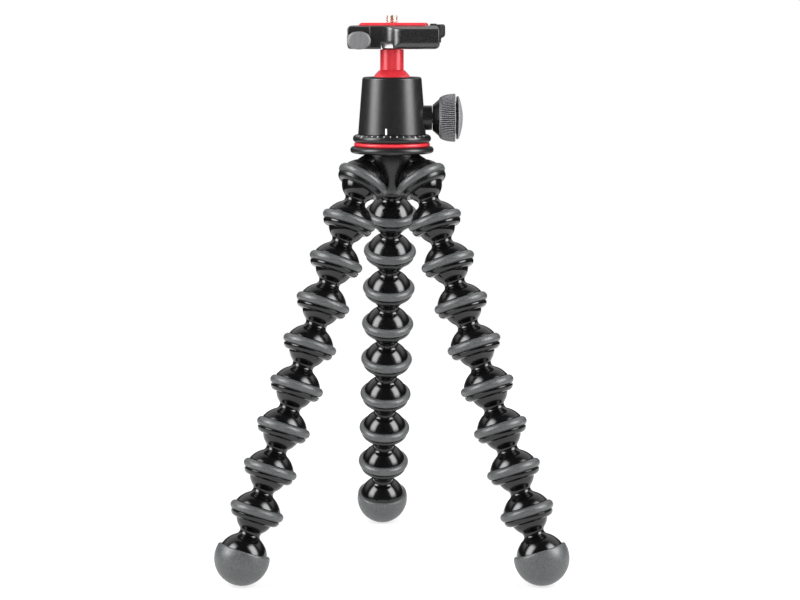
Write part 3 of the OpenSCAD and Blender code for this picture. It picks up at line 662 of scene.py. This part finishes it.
def boot_cup():
    """Rubber cup round the lower part of a foot, with a softened rim."""
    inner_r = DOME_R + FIT_GAP
    rim_angle = degrees(acos(sqrt(1 - (BOOT_RIM_RISE / FOOT_R) ** 2)))
    rim_r = sqrt(FOOT_R**2 - BOOT_RIM_RISE**2)
    inner_rim_r = sqrt(inner_r**2 - BOOT_RIM_RISE**2)
    inner_angle = degrees(acos(inner_rim_r / inner_r))
    points = [(0, -FOOT_R)]
    points += arc(0, 0, FOOT_R, -BOOT_TIP_ANGLE, rim_angle - BOOT_RIM_ANGLE, steps=40)
    points.append((rim_r - BOOT_EDGE / 3, BOOT_RIM_RISE - BOOT_EDGE / 3))
    points += [(rim_r - BOOT_EDGE, BOOT_RIM_RISE), (inner_rim_r, BOOT_RIM_RISE)]
    points += arc(0, 0, inner_r, inner_angle - BOOT_INNER_ANGLE, -BOOT_TIP_ANGLE, steps=32)
    points.append((0, -inner_r))
    return [(r, z - PITCH) for r, z in points]


def build_leg(leg):
    """A leg's links with their grip rings, and its foot with the rubber boot."""
    up = leg_up(leg)
    for k in range(1, LINK_COUNT + 1):
        body = f"{leg}_link_{k}"
        place = frame_along(leg_joint(leg, k), up)
        shell = lathe(ball_and_waist() + socket_dome())
        piece(f"{leg}_link_{k}_shell", shell, place, "gloss_black", body, [body])
        ring = lathe([(r, z - PITCH) for r, z in grip_ring()], closed=True)
        piece(f"{leg}_link_{k}_grip_ring", ring, place, "grip_rubber", body, [body])
    body = f"{leg}_foot"
    place = frame_along(leg_joint(leg, LINK_COUNT + 1), up)
    ball = lathe(ball_and_waist() + foot_dome())
    piece(f"{leg}_foot_ball", ball, place, "gloss_black", body, [f"{leg}_foot"])
    piece(f"{leg}_foot_boot", lathe(boot_cup()), place, "grip_rubber", body, [f"{leg}_boot"])


def build_hub_rings():
    """Grip rings on the hub's own sockets, which lean outward."""
    for leg in LEGS:
        joint = leg_joint(leg, 1)
        outward = Vector((joint.x - COLUMN.x, joint.y - COLUMN.y, 0)).normalized()
        up = UP * cos(HUB_SOCKET_TILT) - outward * sin(HUB_SOCKET_TILT)
        ring = lathe(grip_ring(), closed=True)
        place = frame_along(joint, up)
        piece(f"{leg}_hub_grip_ring", ring, place, "grip_rubber", "hub", ["hub_grip_rings"])


def build_hub_web():
    """Moulded middle of the hub, which runs into the walls of the three sockets."""
    joints = [leg_joint(leg, 1) for leg in LEGS]
    socket_r = hypot(joints[0].x - COLUMN.x, joints[0].y - COLUMN.y) / MM
    sides = [atan2(joint.y - COLUMN.y, joint.x - COLUMN.x) for joint in joints]

    def inside_walls(radius, height, turn):
        for side in sides:
            room = WEB_WALL_R**2 - height**2 - (socket_r * sin(turn - side)) ** 2
            if room > 0 and cos(turn - side) > 0:
                radius = min(radius, socket_r * cos(turn - side) - sqrt(room))
        return radius

    foot_angle = acos(WEB_TIP_R / WEB_TOP_R)
    profile = [(0, WEB_TOP)]
    for i in range(WEB_ROWS + 1):
        angle = foot_angle * i / WEB_ROWS
        drop = WEB_DROP * sin(angle)
        profile.append((WEB_TOP_R * cos(angle) - WEB_TAPER * drop, WEB_TOP - drop))
    profile.append((0, profile[-1][1]))
    foot = Vector((COLUMN.x, COLUMN.y, joints[0].z))
    place = Matrix.Translation(foot) @ Matrix.Scale(MM, 4)
    web = lathe(profile, WEB_STEPS, shape=inside_walls)
    piece("hub_moulded_web", web, place, "hub_satin", "hub")


# Marks of the pan scale

def build_pan_marks():
    """White ticks over the round rim of the pan base, and the index line on the housing."""
    rim_z = (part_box("trim_ring")[1].z - COLUMN.z) / MM + PAN_RIM_ROUND
    ticks = bmesh.new()
    for i in range(360 // TICK_STEP):
        end = TICK_LONG if i % TICKS_PER_LONG == 0 else TICK_SHORT
        outline = arc(PAN_RIM_R, rim_z, PAN_RIM_ROUND, TICK_INNER, end, steps=8)
        outline += arc(PAN_RIM_R, rim_z, PAN_RIM_ROUND + MARK_THICK, end, TICK_INNER, steps=8)
        add_sector(ticks, outline, TICK_START + TICK_STEP * i, TICK_HALF)
    place = Matrix.Translation(COLUMN) @ Matrix.Scale(MM, 4)
    piece("pan_scale_ticks", ticks, place, "white_print", "hub")

    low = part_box("ball_housing")[0]
    foot_r = -(low.x - COLUMN.x) / MM
    foot_z = (low.z - COLUMN.z) / MM
    taper = (HOUSING_FOOT_R - HOUSING_TOP_R) / HOUSING_H
    outline = [(foot_r - taper * z + out, foot_z + z) for z, out in (
        (INDEX_FOOT, 0), (INDEX_FOOT, MARK_THICK), (INDEX_TOP, MARK_THICK), (INDEX_TOP, 0))]
    line = bmesh.new()
    add_sector(line, outline, INDEX_AZIMUTH, INDEX_HALF)
    piece("pan_index_line", line, place, "white_print", "head")


# Lock knob

def knob_place(reach):
    """Frame on the lock knob's axis, at a reach in millimetres from the column."""
    joint = JOINTS["lock_turn"]
    axis = Vector(joint["axis"])
    return frame_along(Vector(joint["pos_m"]) + axis * reach * MM, axis)


def grip_r(height):
    """The grip widens to its rim along a quarter of an ellipse."""
    return KNOB_MID_R + (KNOB_BIG_R - KNOB_MID_R) * sqrt(1 - (1 - height / KNOB_GRIP_L) ** 2)


def rib_shape(radius, height, turn):
    """Axial grooves that grow from the inner end and stop before the rim."""
    if radius < KNOB_MID_R:
        return radius
    rim_start = KNOB_GRIP_L - KNOB_RIM_L
    depth = RIB_DEPTH * smooth_step(height, RIB_START, RIB_FULL)
    depth *= 1 - smooth_step(height, rim_start - RIB_END, rim_start)
    return radius - depth * (0.5 + 0.5 * cos(RIB_COUNT * turn)) ** RIB_POINTED


def build_lock_knob():
    """Ribbed grip whose grooves are painted darker as shade, and the domed cap with a dark band painted at its
    edge as shade.
    """
    rim_start = KNOB_GRIP_L - KNOB_RIM_L
    heights = [(rim_start - RIB_END) * (i / GRIP_ROWS) ** 2 for i in range(GRIP_ROWS + 1)]
    heights += [rim_start, KNOB_GRIP_L - KNOB_EDGE]
    profile = [(KNOB_CORE_R, 0)] + [(grip_r(z), z) for z in heights]
    profile += [(KNOB_BIG_R - KNOB_EDGE, KNOB_GRIP_L), (KNOB_CORE_R, KNOB_GRIP_L)]
    grip = lathe(profile, RIB_COUNT * RIB_STEPS, closed=True, shape=rib_shape)
    place = knob_place(KNOB_GRIP_X)

    def in_shaded_groove(point):
        outside = hypot(point.x, point.y) > KNOB_MID_R and RIB_START < point.z < rim_start
        return outside and cos(RIB_COUNT * atan2(point.y, point.x)) > 0

    made = piece("lock_knob_ribbed_grip", grip, place, "knob_grey", "lock_knob", ["lock_knob_grip"])
    # The faces in the grooves take the darker grey as painted shade
    paint(made, "painted_groove_shade", place, in_shaded_groove)

    dome_h = CAP_L - CAP_EDGE_L
    crown_r = (CAP_R**2 + dome_h**2) / (2 * dome_h)
    edge_angle = degrees(asin(CAP_R / crown_r))
    profile = [(0, 0), (CAP_R - CAP_ROUND, 0), (CAP_R, CAP_ROUND), (CAP_R, CAP_SHADE_L)]
    profile += arc(0, CAP_L - crown_r, crown_r, 90 - edge_angle + CAP_EDGE_ANGLE, 90, steps=16)[:-1]
    profile.append((0, CAP_L))
    cap = lathe(profile)
    place = knob_place(CAP_X)
    made = piece("lock_knob_dome_cap", cap, place, "cap_grey", "lock_knob", ["lock_knob_cap"])
    # The band next to the cone is painted in the knob's black as shade at the cap's edge
    paint(made, "knob_black", place, lambda point: point.z < CAP_SHADE_L)


# Clamp and camera plate

def clamp_place():
    """Frame of the clamp in millimetres, turned with the dovetail."""
    along = -Vector(JOINTS["plate_slide"]["axis"])
    across = UP.cross(along)
    turn = Matrix((along, across, UP)).transposed().to_4x4()
    foot = Vector((COLUMN.x, COLUMN.y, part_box("stem_collar")[1].z))
    return Matrix.Translation(foot) @ turn @ Matrix.Scale(MM, 4)


CLAMP = clamp_place()


def build_collar():
    """Bright collar that widens towards the clamp."""
    low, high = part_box("stem_collar")
    height = (high.z - low.z) / MM
    outer_r = (high.x - low.x) / 2 / MM
    foot_r = outer_r - COLLAR_FLARE
    profile = [(COLLAR_BORE_R, 0), (foot_r, 0), (outer_r, height - COLLAR_LIP)]
    profile += [(outer_r, height), (COLLAR_BORE_R, height)]
    collar = lathe(profile, closed=True)
    place = frame_along(Vector((COLUMN.x, COLUMN.y, low.z)), UP)
    piece("stem_collar_cone", collar, place, "bright_steel", "ball", ["stem_collar"])


def shape_jaw(point):
    """Slopes the jaw's top to the front, rounds its lower edge and cuts the finger hollow."""
    ahead = max(0, JAW_SLOPE_Y - point.y)
    point.z = min(point.z, JAW_TOP - ahead * tan(JAW_SLOPE))
    depth = JAW_FOOT_R - (point.y - JAW_FRONT)
    drop = JAW_FOOT_R - (point.z - JAW_FOOT)
    reach = hypot(depth, drop)
    if depth > 0 and drop > 0 and reach > JAW_FOOT_R:
        point.y -= depth * (JAW_FOOT_R / reach - 1)
        point.z -= drop * (JAW_FOOT_R / reach - 1)
    if point.x > HOLLOW_LEFT:
        point.y = max(point.y, hollow_face(point.x))


def hollow_face(x):
    """Front of the jaw: the finger hollow's floor, an inner and an outer round, and the block."""
    width = HOLLOW_RIGHT - HOLLOW_MIDDLE
    depth = HOLLOW_FLOOR - JAW_FRONT
    turn = 2 * atan2(depth, width)
    inner_r = width / sin(turn) - HOLLOW_EDGE_R
    if x < HOLLOW_MIDDLE:
        return HOLLOW_FLOOR
    if x < HOLLOW_MIDDLE + inner_r * sin(turn):
        return HOLLOW_FLOOR - inner_r + sqrt(inner_r**2 - (x - HOLLOW_MIDDLE) ** 2)
    if x < HOLLOW_RIGHT:
        return JAW_FRONT + HOLLOW_EDGE_R - sqrt(HOLLOW_EDGE_R**2 - (HOLLOW_RIGHT - x) ** 2)
    return JAW_FRONT


def shape_body(point):
    """Sets the clamp body's right end back, and rounds both rims of the level's cup."""
    out = Vector((point.x - LEVEL_AT[0], point.y - LEVEL_AT[1]))
    if out.length > LEVEL_CUP_R + VOXEL:
        point.x = min(point.x, BODY_RIGHT)
        return
    middle_z = LEVEL_CUP_TOP - LEVEL_CUP_H / 2
    side = 1 if point.z > middle_z else -1
    over_r = out.length - LEVEL_CUP_R + LEVEL_RIM
    over_z = side * (point.z - middle_z) - LEVEL_CUP_H / 2 + LEVEL_RIM
    reach = hypot(over_r, over_z)
    if point.x > BODY_RIGHT - LEVEL_RIM and over_r > 0 and over_z > 0 and reach > LEVEL_RIM:
        inward = over_r * (1 - LEVEL_RIM / reach)
        point.x -= out.x / out.length * inward
        point.y -= out.y / out.length * inward
        point.z -= side * over_z * (1 - LEVEL_RIM / reach)


def build_jaws():
    """Front jaw, and the clamp body with the level's cup in a duller black."""
    def in_front(point):
        return point.y < JAW_FRONT_END

    def in_back(point):
        return point.y > BODY_BACK_START

    def in_cup(point):
        return hypot(point.x - LEVEL_AT[0], point.y - LEVEL_AT[1]) < LEVEL_CUP_R + VOXEL

    rounds = [(CLAMP_ROUNDS, everywhere), (JAW_FRONT_ROUNDS, in_front)]
    jaw = soft_copy("clamp_jaw", CLAMP, shape_jaw, rounds)
    piece("clamp_front_jaw", jaw, CLAMP, "clamp_black", "clamp_jaw", ["clamp_jaw"], SOFT_SHARP)

    rounds = [(CLAMP_ROUNDS, everywhere), (BODY_BACK_ROUNDS, in_back)]
    body = soft_copy("clamp_body", CLAMP, shape_body, rounds)
    made = piece("clamp_rear_body", body, CLAMP, "clamp_black", "ball", ["clamp_body"], SOFT_SHARP)
    paint(made, "cup_black", CLAMP, in_cup)


def thumb_outline():
    """Oval a little fuller than an ellipse."""
    points = []
    for i in range(THUMB_STEPS):
        turn = 2 * pi * i / THUMB_STEPS
        u, v = cos(turn), sin(turn)
        fuller = (abs(u) ** THUMB_FULLNESS + abs(v) ** THUMB_FULLNESS) ** (-1 / THUMB_FULLNESS)
        points.append((u * fuller * THUMB_HALF_W, v * fuller * THUMB_HALF_H))
    return points


def build_thumb_knob():
    """Oval with a face crowned about an upright axis and a bevelled edge."""
    def face_depth(u):
        return THUMB_L - THUMB_CROWN_R + sqrt(THUMB_CROWN_R**2 - u * u)

    mesh = bmesh.new()
    outline = thumb_outline()
    at = Vector(THUMB_AT)

    def row(inset, depth_at):
        points = []
        for u, v in outline:
            u *= 1 - inset / THUMB_HALF_W
            v *= 1 - inset / THUMB_HALF_H
            points.append(mesh.verts.new(at + Vector((u, -depth_at(u), v))))
        return points

    rows = [row(THUMB_BACK_INSET, lambda u: 0), row(0, lambda u: THUMB_BACK_EDGE)]
    for inset, below in THUMB_BEVEL:
        rows.append(row(inset, lambda u: face_depth(u) - below))
    for share in THUMB_FACE_ROWS:
        points = [(u * share, v * share) for u, v in outline]
        rows.append([mesh.verts.new(at + Vector((u, -face_depth(u), v))) for u, v in points])
    rows.append([mesh.verts.new(at + Vector((0, -THUMB_L, 0)))])
    join_rows(mesh, rows, closed=False)
    mesh.faces.new(rows[0][::-1])
    piece("clamp_oval_knob", mesh, CLAMP, "thumb_grey", "thumb_knob", ["clamp_thumb_knob"], THUMB_SHARP)


def build_plate():
    """Camera plate with chamfered ends, and its two ribbed rubber strips."""
    def chamfer_ends(point):
        past_left = max(0, PLATE_LEFT + PLATE_CHAMFER - point.x)
        past_right = max(0, point.x - PLATE_RIGHT + PLATE_CHAMFER / 2)
        point.z = min(point.z, PLATE_TOP - past_left - past_right)

    plate = soft_copy("camera_plate", CLAMP, chamfer_ends, [(PLATE_ROUNDS, everywhere)])
    piece("camera_plate_slide", plate, CLAMP, "red_metal", "plate", ["camera_plate"], SOFT_SHARP)

    outline = [(PAD_HALF_W, -PAD_T), (-PAD_HALF_W, -PAD_T)]
    steps = PAD_RIBS * PAD_RIB_STEPS
    for i in range(steps + 1):
        groove = 0.5 + 0.5 * cos(2 * pi * PAD_RIBS * i / steps)
        outline.append((-PAD_HALF_W + 2 * PAD_HALF_W * i / steps, -PAD_GROOVE * groove))
    pads = bmesh.new()
    for middle in (-PAD_Y, PAD_Y):
        add_prism(pads, outline, PAD_LEFT, PAD_RIGHT, lambda u, v, x: (x, middle + u, PLATE_TOP + v))
    piece("plate_ribbed_pads", pads, CLAMP, "grip_rubber", "plate", ["plate_pads"])


def thread_shape(radius, height, turn):
    """Right-handed thread above the plate, with a chamfered end."""
    if height < FIT_GAP:
        return radius
    phase = (height / THREAD_PITCH - turn / (2 * pi)) % 1
    flank = min(1, max(0, (abs(2 * phase - 1) - THREAD_FLAT) / (1 - 2 * THREAD_FLAT)))
    reach = THREAD_R - THREAD_DEPTH * flank
    return min(reach, THREAD_R - THREAD_CHAMFER + (THREAD_RISE - height))


def build_camera_screw():
    """Threaded end over the plate and slotted head in the plate's underside."""
    head_foot = PLATE_Z - PLATE_TOP + SCREW_HEAD_GAP
    head_top = head_foot + SCREW_HEAD_H
    slot_top = head_foot + SCREW_SLOT_DEPTH
    count = round(THREAD_RISE / THREAD_PITCH * THREAD_ROWS)
    heights = [FIT_GAP + (THREAD_RISE - FIT_GAP) * i / count for i in range(count + 1)]
    profile = [(0, head_top), (SCREW_NECK_R, head_top), (SCREW_NECK_R, 0)]
    profile += [(THREAD_R, height) for height in heights] + [(0, THREAD_RISE)]
    above = CLAMP @ Matrix.Translation((0, 0, PLATE_TOP))
    shank = lathe(profile, shape=thread_shape)
    piece("camera_screw_thread", shank, above, "screw_metal", "camera_screw", ["camera_screw"])

    profile = [(0, slot_top), (SCREW_HEAD_R, slot_top), (SCREW_HEAD_R, head_top - SCREW_HEAD_EDGE)]
    profile += [(SCREW_HEAD_R - SCREW_HEAD_EDGE, head_top), (0, head_top)]
    head = lathe(profile)
    start = degrees(asin(SCREW_SLOT_W / 2 / SCREW_HEAD_R))
    outline = arc(0, 0, SCREW_HEAD_R, start, 180 - start, steps=40)
    for side in (1, -1):
        add_prism(head, outline, head_foot, slot_top, lambda u, v, z: (u, side * v, z))
    piece("camera_screw_head", head, above, "screw_metal", "camera_screw", ["camera_screw"])


def build_level():
    """Round vial under a shallow window, with its circle and its bubble."""
    at = CLAMP @ Matrix.Translation(LEVEL_AT)
    top = LEVEL_H - LEVEL_SINK
    centre = top - LEVEL_WINDOW_R

    def window(rise, reach):
        start = degrees(asin(reach / LEVEL_WINDOW_R))
        points = arc(0, centre + rise, LEVEL_WINDOW_R, 90 - start, 90, steps=10)[:-1]
        return points + [(0, top + rise)]

    vial = [(0, 0), (LEVEL_R, 0)] + window(0, LEVEL_R)
    piece("level_vial_fluid", lathe(vial), at, "level_fluid", "ball", ["level_vial"])
    bubble = [(0, top - BUBBLE_H)] + window(BUBBLE_RISE, BUBBLE_R)
    bubble_at = at @ Matrix.Translation(BUBBLE_SHIFT)
    piece("level_bubble", lathe(bubble, steps=48), bubble_at, "level_bubble", "ball")
    height = centre + sqrt(LEVEL_WINDOW_R**2 - LEVEL_CIRCLE_R**2)
    circle = arc(LEVEL_CIRCLE_R, height, LEVEL_CIRCLE_WIRE_R, 0, 330, steps=11)
    piece("level_circle", lathe(circle, steps=64, closed=True), at, "knob_black", "ball")


for leg in LEGS:
    build_leg(leg)
build_hub_rings()
build_hub_web()
build_pan_marks()
build_collar()
build_lock_knob()
build_jaws()
build_thumb_knob()
build_plate()
build_camera_screw()
build_level()


# Stage, light and camera

def build_floor():
    """White disc whose own glow grows away from the object, so that it runs into the white backdrop."""
    mesh = bmesh.new()
    bmesh.ops.create_circle(mesh, cap_ends=True, segments=FLOOR_STEPS, radius=FLOOR_R)
    data = bpy.data.meshes.new("floor")
    mesh.to_mesh(data)
    mesh.free()
    finish = Finish("floor_white")
    grey = (FLOOR_GREY, FLOOR_GREY, FLOOR_GREY, 1)
    grey_high = (FLOOR_GREY_HIGH, FLOOR_GREY_HIGH, FLOOR_GREY_HIGH, 1)
    finish.colour(finish.noise(400), grey, grey_high)
    finish.set("Roughness", 0.9).set("Emission Color", (1, 1, 1, 1))
    distance = finish.nodes.new("ShaderNodeVectorMath")
    distance.operation = "LENGTH"
    glow = finish.nodes.new("ShaderNodeMapRange")
    glow.inputs["From Min"].default_value = FLOOR_GLOW_START
    glow.inputs["From Max"].default_value = FLOOR_R
    glow.inputs["To Min"].default_value = FLOOR_GLOW_NEAR
    glow.inputs["To Max"].default_value = FLOOR_GLOW_FAR
    finish.links.new(finish.place, distance.inputs[0])
    finish.links.new(distance.outputs["Value"], glow.inputs["Value"])
    finish.links.new(glow.outputs["Result"], finish.shader.inputs["Emission Strength"])
    data.materials.append(finish.material)
    floor = bpy.data.objects.new("floor", data)
    bpy.context.scene.collection.objects.link(floor)


def build_world():
    """White to the camera; for reflections dark, with a bright backdrop high behind the object."""
    world = bpy.data.worlds.new("studio")
    bpy.context.scene.world = world
    world.use_nodes = True
    nodes = world.node_tree.nodes
    links = world.node_tree.links
    nodes.clear()
    direction = nodes.new("ShaderNodeTexCoord")
    axes = nodes.new("ShaderNodeSeparateXYZ")
    both = nodes.new("ShaderNodeMath")
    both.operation = "MULTIPLY"
    for i, (axis, low, high) in enumerate(BACKDROP):
        reach = nodes.new("ShaderNodeMapRange")
        reach.interpolation_type = "SMOOTHSTEP"
        reach.inputs["From Min"].default_value = low
        reach.inputs["From Max"].default_value = high
        links.new(axes.outputs[axis], reach.inputs["Value"])
        links.new(reach.outputs["Result"], both.inputs[i])
    ramp = nodes.new("ShaderNodeMapRange")
    ramp.inputs["To Min"].default_value = ROOM_DARK
    ramp.inputs["To Max"].default_value = ROOM_BRIGHT
    room = nodes.new("ShaderNodeBackground")
    white = nodes.new("ShaderNodeBackground")
    white.inputs["Strength"].default_value = 1.0
    path = nodes.new("ShaderNodeLightPath")
    mix = nodes.new("ShaderNodeMixShader")
    output = nodes.new("ShaderNodeOutputWorld")
    links.new(direction.outputs["Generated"], axes.inputs["Vector"])
    links.new(both.outputs["Value"], ramp.inputs["Value"])
    links.new(ramp.outputs["Result"], room.inputs["Strength"])
    links.new(path.outputs["Is Camera Ray"], mix.inputs["Fac"])
    links.new(room.outputs["Background"], mix.inputs[1])
    links.new(white.outputs["Background"], mix.inputs[2])
    links.new(mix.outputs["Shader"], output.inputs["Surface"])
    room.inputs["Color"].default_value = (1, 1, 1, 1)
    white.inputs["Color"].default_value = (1, 1, 1, 1)


def soften_edges(light):
    """Lets a rectangular light fade towards its edges."""
    light.use_nodes = True
    nodes = light.node_tree.nodes
    links = light.node_tree.links
    place = nodes.new("ShaderNodeNewGeometry").outputs["Parametric"]
    middle = nodes.new("ShaderNodeVectorMath")
    middle.operation = "SUBTRACT"
    middle.inputs[1].default_value = (0.5, 0.5, 0)
    axes = nodes.new("ShaderNodeSeparateXYZ")
    both = nodes.new("ShaderNodeMath")
    both.operation = "MULTIPLY"
    links.new(place, middle.inputs[0])
    links.new(middle.outputs["Vector"], axes.inputs["Vector"])
    for side, axis in enumerate("XY"):
        reach = nodes.new("ShaderNodeMath")
        reach.operation = "ABSOLUTE"
        fade = nodes.new("ShaderNodeMapRange")
        fade.interpolation_type = "SMOOTHSTEP"
        fade.inputs["From Min"].default_value = SOFTBOX_FADE_START
        fade.inputs["From Max"].default_value = SOFTBOX_FADE_END
        fade.inputs["To Min"].default_value = 1
        fade.inputs["To Max"].default_value = 0
        links.new(axes.outputs[axis], reach.inputs[0])
        links.new(reach.outputs["Value"], fade.inputs["Value"])
        links.new(fade.outputs["Result"], both.inputs[side])
    links.new(both.outputs["Value"], nodes["Emission"].inputs["Strength"])


def build_softbox(name, azimuth, elevation, distance, size, radiance, mirrored=True):
    """Area light of a given brightness, aimed at the middle of the object; azimuth 0 is the front.

    A light that isn't mirrored only fills, and leaves no shine.
    """
    width, height = size
    target = Vector((0, 0, (cad_box[0][2] + cad_box[1][2]) / 2))
    away = Vector((
        sin(radians(azimuth)) * cos(radians(elevation)),
        -cos(radians(azimuth)) * cos(radians(elevation)),
        sin(radians(elevation)),
    ))
    data = bpy.data.lights.new(name, "AREA")
    data.shape = "RECTANGLE"
    data.size = width
    data.size_y = height
    data.energy = radiance * pi * width * height
    soften_edges(data)
    light = bpy.data.objects.new(name, data)
    light.location = target + away * distance
    light.rotation_euler = away.to_track_quat("Z", "Y").to_euler()
    light.visible_camera = False
    light.visible_glossy = mirrored
    bpy.context.scene.collection.objects.link(light)


def build_camera():
    """The photograph's viewpoint, fitted to the leg rings, feet and head."""
    data = bpy.data.cameras.new("camera")
    data.lens = CAMERA_LENS
    data.sensor_width = CAMERA_SENSOR
    data.sensor_fit = "HORIZONTAL"
    camera = bpy.data.objects.new("camera", data)
    camera.location = CAMERA_PLACE
    camera.rotation_euler = (pi / 2 - CAMERA_PITCH_DOWN, 0, 0)
    bpy.context.scene.collection.objects.link(camera)
    bpy.context.scene.camera = camera


build_floor()
build_world()
for name, azimuth in (("left_softbox", -SOFTBOX_AZIMUTH), ("right_softbox", SOFTBOX_AZIMUTH)):
    build_softbox(name, azimuth, SOFTBOX_ELEVATION, SOFTBOX_DISTANCE, SOFTBOX_SIZE, SOFTBOX_RADIANCE)
build_softbox("front_fill", 0, FILL_ELEVATION, FILL_DISTANCE, FILL_SIZE, FILL_RADIANCE, mirrored=False)
build_camera()
bpy.context.scene.view_settings.view_transform = "Standard"
